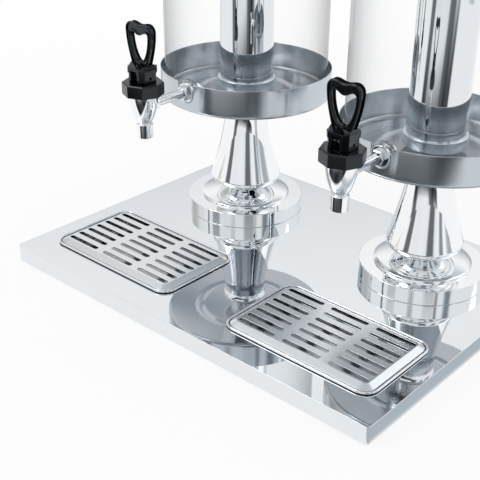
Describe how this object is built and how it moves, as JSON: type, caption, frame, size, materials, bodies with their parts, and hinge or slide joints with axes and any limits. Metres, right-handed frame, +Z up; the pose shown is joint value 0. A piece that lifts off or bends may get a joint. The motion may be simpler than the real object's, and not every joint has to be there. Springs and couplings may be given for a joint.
{
  "type": "drink dispenser",
  "caption": "Free-standing cold drink dispenser: clear tanks with ice tubes on polished pedestals, with lever taps over slotted drip pans on a folded steel base.",
  "frame": {"origin": "on the table, under the middle of the base plate", "axes": "+X to the right along the front edge, +Y to the back, +Z up; the taps face -Y"},
  "size_m": [0.5, 0.368, 0.5449],
  "materials": {
    "mirror_steel": "mirror polished stainless steel",
    "satin_steel": "satin stainless steel",
    "chrome": "polished chrome plate",
    "clear_plastic": "clear polycarbonate",
    "black_plastic": "glossy black",
    "silicone": "translucent white silicone",
    "black_rubber": "matt black rubber"
  },
  "bodies": {
    "stand": {"base_plate": "mirror_steel", "foot_front_left": "black_rubber", "foot_front_right": "black_rubber", "foot_back_left": "black_rubber", "foot_back_right": "black_rubber", "left_foot_ring": "chrome", "left_bell": "chrome", "left_pedestal": "chrome", "left_collar": "chrome", "left_tie_rod": "satin_steel", "left_tie_nut": "satin_steel", "left_pan": "satin_steel", "right_foot_ring": "chrome", "right_bell": "chrome", "right_pedestal": "chrome", "right_collar": "chrome", "right_tie_rod": "satin_steel", "right_tie_nut": "satin_steel", "right_pan": "satin_steel"},
    "left_drip_pan_body": {"left_drip_pan": "satin_steel"},
    "left_grille_body": {"left_drip_grille": "satin_steel"},
    "left_tank_body": {"left_tank": "clear_plastic", "left_tube_seat": "mirror_steel", "left_ice_tube": "mirror_steel", "left_tap_shank": "chrome", "left_tap_gasket": "silicone", "left_tap_washer": "chrome", "left_outer_nut": "chrome", "left_inner_nut": "satin_steel", "left_tap_body": "chrome", "left_tap_spout": "chrome", "left_tap_bonnet": "black_plastic"},
    "left_lid_body": {"left_lid": "mirror_steel", "left_lid_knob": "black_plastic"},
    "left_valve_body": {"left_valve_stem": "satin_steel", "left_seat_cup": "silicone", "left_valve_spring": "satin_steel"},
    "left_lever_body": {"left_lever": "black_plastic", "left_lever_pin": "satin_steel"},
    "right_drip_pan_body": {"right_drip_pan": "satin_steel"},
    "right_grille_body": {"right_drip_grille": "satin_steel"},
    "right_tank_body": {"right_tank": "clear_plastic", "right_tube_seat": "mirror_steel", "right_ice_tube": "mirror_steel", "right_tap_shank": "chrome", "right_tap_gasket": "silicone", "right_tap_washer": "chrome", "right_outer_nut": "chrome", "right_inner_nut": "satin_steel", "right_tap_body": "chrome", "right_tap_spout": "chrome", "right_tap_bonnet": "black_plastic"},
    "right_lid_body": {"right_lid": "mirror_steel", "right_lid_knob": "black_plastic"},
    "right_valve_body": {"right_valve_stem": "satin_steel", "right_seat_cup": "silicone", "right_valve_spring": "satin_steel"},
    "right_lever_body": {"right_lever": "black_plastic", "right_lever_pin": "satin_steel"}
  },
  "joints": [
    {"name": "left_drip_pan_lift", "type": "slide", "parent": "stand", "child": "left_drip_pan_body", "axis": [0, 0, 1], "range_m": [0, 0.06]},
    {"name": "left_grille_lift", "type": "slide", "parent": "left_drip_pan_body", "child": "left_grille_body", "axis": [0, 0, 1], "range_m": [0, 0.05]},
    {"name": "left_tank_lift", "type": "slide", "parent": "stand", "child": "left_tank_body", "axis": [0, 0, 1], "range_m": [0, 0.12]},
    {"name": "left_lid_lift", "type": "slide", "parent": "left_tank_body", "child": "left_lid_body", "axis": [0, 0, 1], "range_m": [0, 0.12]},
    {"name": "left_valve_lift", "type": "slide", "parent": "left_tank_body", "child": "left_valve_body", "axis": [0, 0, 1], "range_m": [0, 0.00514], "deforming": ["left_valve_spring"]},
    {"name": "left_lever_tilt", "type": "hinge", "parent": "left_valve_body", "child": "left_lever_body", "pos_m": [-0.1335, -0.085, 0.228], "axis": [1, 0, 0], "range_deg": [0, 28], "stiffness_Nm_per_rad": 0.04, "springref_deg": -28.07},
    {"name": "right_drip_pan_lift", "type": "slide", "parent": "stand", "child": "right_drip_pan_body", "axis": [0, 0, 1], "range_m": [0, 0.06]},
    {"name": "right_grille_lift", "type": "slide", "parent": "right_drip_pan_body", "child": "right_grille_body", "axis": [0, 0, 1], "range_m": [0, 0.05]},
    {"name": "right_tank_lift", "type": "slide", "parent": "stand", "child": "right_tank_body", "axis": [0, 0, 1], "range_m": [0, 0.12]},
    {"name": "right_lid_lift", "type": "slide", "parent": "right_tank_body", "child": "right_lid_body", "axis": [0, 0, 1], "range_m": [0, 0.12]},
    {"name": "right_valve_lift", "type": "slide", "parent": "right_tank_body", "child": "right_valve_body", "axis": [0, 0, 1], "range_m": [0, 0.00514], "deforming": ["right_valve_spring"]},
    {"name": "right_lever_tilt", "type": "hinge", "parent": "right_valve_body", "child": "right_lever_body", "pos_m": [0.1335, -0.085, 0.228], "axis": [1, 0, 0], "range_deg": [0, 28], "stiffness_Nm_per_rad": 0.04, "springref_deg": -28.07}
  ],
  "couplings": [
    {"joint": "left_valve_lift", "follows": "left_lever_tilt", "m_per_rad": 0.0105},
    {"joint": "right_valve_lift", "follows": "right_lever_tilt", "m_per_rad": 0.0105}
  ]
}
